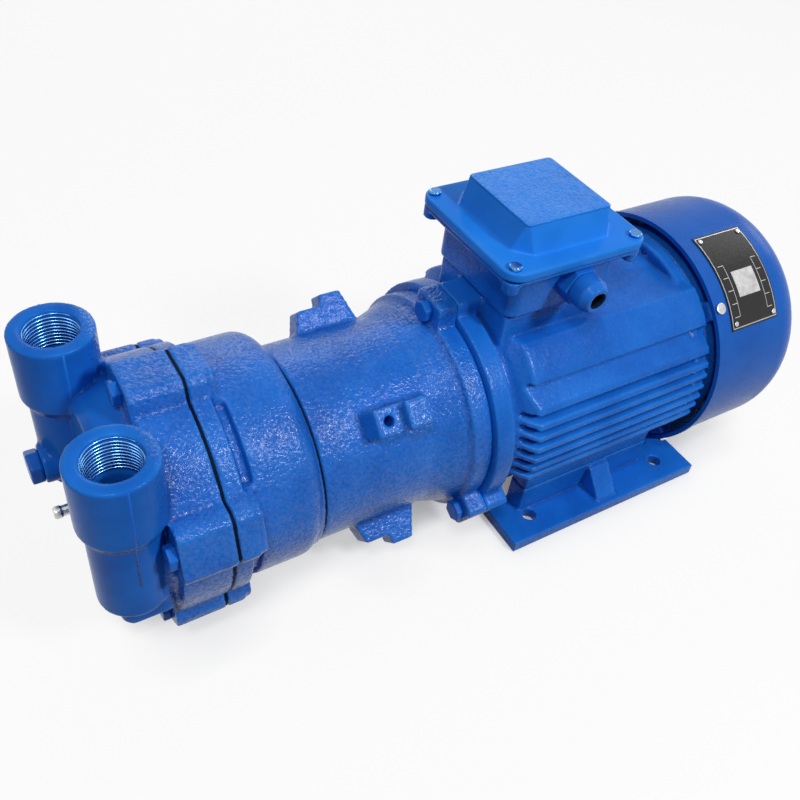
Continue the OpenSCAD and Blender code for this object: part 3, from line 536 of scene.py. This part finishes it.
# Two blank tables: the uprights' places, and the rows that run from them towards the plate's ends
TABLE_UPRIGHTS = (9 * MM, 37 * MM)
TABLE_LINE = 0.4 * MM
TABLE_GAP = 4 * MM
TABLE_START_ANGLE = 17
TABLE_END_ANGLE = 6
TABLE_ROWS = 5
ROW_STEP_ANGLE = 6
ROW_LINE_ANGLE = 0.3

# Pale patch in the middle
PATCH_X = (13 * MM, 34 * MM)
PATCH_ANGLES = (21, 33)


def on_plate(x, degrees, r):
    """A place on the nameplate, x along the shaft."""
    turn = math.radians(degrees)
    return (x, -r * math.sin(turn), AXIS_Z + r * math.cos(turn))


def plate_field(points, faces, x0, x1, a0, a1, steps=8):
    """Adds a thin raised field that follows the round of the nameplate."""
    low, high = PLATE_FACE_R - FIELD_SINK, PLATE_FACE_R + FIELD_RISE
    section = ((x0, low), (x1, low), (x1, high), (x0, high))
    angles = [a0 + (a1 - a0) * i / steps for i in range(steps + 1)]
    more, skin = swept([[on_plate(x, angle, r) for x, r in section] for angle in angles])
    faces.extend(tuple(k + len(points) for k in face) for face in skin)
    points.extend(more)


def plate_border(points, faces):
    """Adds a border of four lines."""
    left, right = PLATE_X[0] + BORDER_GAP, PLATE_X[1] - BORDER_GAP
    top, bottom = PLATE_ANGLES[0] + BORDER_GAP_ANGLE, PLATE_ANGLES[1] - BORDER_GAP_ANGLE
    for x in (left, right - BORDER_LINE):
        plate_field(points, faces, x, x + BORDER_LINE, top, bottom)
    for angle in (top, bottom - BORDER_LINE_ANGLE):
        plate_field(points, faces, left, right, angle, angle + BORDER_LINE_ANGLE, steps=2)


def plate_tables(points, faces):
    """Adds two tables with no words in them."""
    left, right = (PLATE_X[0] + x for x in TABLE_UPRIGHTS)
    start, end = PLATE_ANGLES[0] + TABLE_START_ANGLE, PLATE_ANGLES[1] - TABLE_END_ANGLE
    for x in (left, right):
        plate_field(points, faces, x, x + TABLE_LINE, start, end)
    for row in range(TABLE_ROWS):
        angle = start + ROW_STEP_ANGLE * row
        for x0, x1 in ((PLATE_X[0] + TABLE_GAP, left), (right, PLATE_X[1] - TABLE_GAP)):
            plate_field(points, faces, x0, x1, angle, angle + ROW_LINE_ANGLE, steps=2)


def plate_fields():
    """Blank silver fields and a border on the nameplate, with no words in them."""
    points, faces = [], []
    plate_border(points, faces)
    plate_tables(points, faces)
    x0, x1 = (PLATE_X[0] + x for x in PATCH_X)
    a0, a1 = (PLATE_ANGLES[0] + angle for angle in PATCH_ANGLES)
    plate_field(points, faces, x0, x1, a0, a1)
    silver = FINISH["bright_steel"]
    add_mesh("nameplate_fields", points, faces, silver, "housing", "bright_steel", smooth=False)


plate_fields()


# Stage


FLOOR_SIZE = 12.0
FLOOR_Z = -0.2 * MM  # the lowest point of the fan cover's rim
FLOOR_LIT = (0.14, 0.14, 0.145)  # for the light that the floor gives back
FLOOR_SEEN = (0.93, 0.93, 0.93)
FLOOR_GLOW = 0.86
# How far from the object the painted contact shadow on the floor reaches
PAINTED_SHADOW_REACH = 40 * MM
AMBIENT = 0.10
LAMP_TARGET = (-0.1, 0.0, 0.1)
LAMPS = {  # name: (place, width, watts)
    "key": ((0.41, -1.10, 1.29), 0.25, 15),
    "top": ((-0.74, -0.59, 1.44), 0.25, 7),
    "side": ((-1.50, 0.10, 0.90), 0.6, 3),
    "back": ((0.30, 1.40, 0.95), 0.8, 5),
    "rear": ((1.50, 0.20, 0.90), 0.6, 3.5),
}


def seen_plainly(tree):
    """1 for what the camera sees, directly, mirrored or through glass, and 0 for light on its way."""
    path = tree.nodes.new("ShaderNodeLightPath")
    seen = path.outputs["Is Camera Ray"]
    for kind in ("Is Glossy Ray", "Is Transmission Ray"):
        seen = combine(tree, "MAXIMUM", seen, path.outputs[kind])
    return seen


def floor_material():
    """A pale floor that keeps the object's shadow, with a painted contact shadow where its glow fades near the
    object, and gives little light back.
    """
    material, tree, shader = new_material("pale_floor")
    seen = seen_plainly(tree)
    tree.links.new(ramp(tree, seen, ((0.0, FLOOR_LIT), (1.0, FLOOR_SEEN))), shader.inputs["Base Color"])
    shader.inputs["Roughness"].default_value = 0.9
    shader.inputs["Specular IOR Level"].default_value = 0.1
    # Painted shadow: the floor's glow fades to dark near the object and in its holes, by ambient occlusion
    painted_shadow_ao = tree.nodes.new("ShaderNodeAmbientOcclusion")
    painted_shadow_ao.inputs["Distance"].default_value = PAINTED_SHADOW_REACH
    glow = remap(tree, combine(tree, "MULTIPLY", seen, painted_shadow_ao.outputs["AO"]), target=(0.0, FLOOR_GLOW))
    white = tree.nodes.new("ShaderNodeEmission")
    mix = tree.nodes.new("ShaderNodeMixShader")
    tree.links.new(glow, mix.inputs["Fac"])
    tree.links.new(shader.outputs["BSDF"], mix.inputs[1])
    tree.links.new(white.outputs["Emission"], mix.inputs[2])
    tree.links.new(mix.outputs["Shader"], tree.nodes["Material Output"].inputs["Surface"])
    return material


def add_floor():
    """A wide floor under the feet."""
    bpy.ops.mesh.primitive_plane_add(size=FLOOR_SIZE, location=(0, 0, FLOOR_Z))
    floor = bpy.context.object
    floor.name = "floor"
    paint(floor, floor_material())


def add_lamp(name, place, width, watts):
    """A soft square lamp that looks at the object."""
    data = bpy.data.lights.new(name, "AREA")
    data.size = width
    data.energy = watts
    lamp = bpy.data.objects.new(name, data)
    bpy.context.collection.objects.link(lamp)
    lamp.location = place
    lamp.rotation_euler = (Vector(LAMP_TARGET) - Vector(place)).to_track_quat("-Z", "Y").to_euler()


def add_world():
    """Even pale light all round, which the camera and reflections see as white."""
    world = bpy.data.worlds.new("studio")
    bpy.context.scene.world = world
    world.use_nodes = True
    tree = world.node_tree
    light = tree.nodes["Background"]
    light.inputs["Color"].default_value = (1, 1, 1, 1)
    strength = remap(tree, seen_plainly(tree), target=(AMBIENT, 1.0))
    tree.links.new(strength, light.inputs["Strength"])


def add_camera():
    """The photograph's camera."""
    az, el, roll = CAMERA_AZIMUTH, CAMERA_ELEVATION, CAMERA_ROLL
    ahead = Vector((math.sin(az) * math.cos(el), math.cos(az) * math.cos(el), -math.sin(el)))
    right = Vector((math.cos(az), -math.sin(az), 0))
    up = right.cross(ahead)
    across = math.cos(roll) * right + math.sin(roll) * up
    upward = math.cos(roll) * up - math.sin(roll) * right
    turn = Matrix((across, upward, -ahead)).transposed().to_4x4()
    data = bpy.data.cameras.new("camera")
    data.lens = CAMERA_LENS
    data.sensor_width = CAMERA_SENSOR
    camera = bpy.data.objects.new("camera", data)
    camera.matrix_world = Matrix.Translation(CAMERA_PLACE) @ turn
    bpy.context.collection.objects.link(camera)
    bpy.context.scene.camera = camera


add_floor()
add_world()
for name, (place, width, watts) in LAMPS.items():
    add_lamp(name, place, width, watts)
add_camera()
bpy.context.scene.view_settings.view_transform = "Standard"
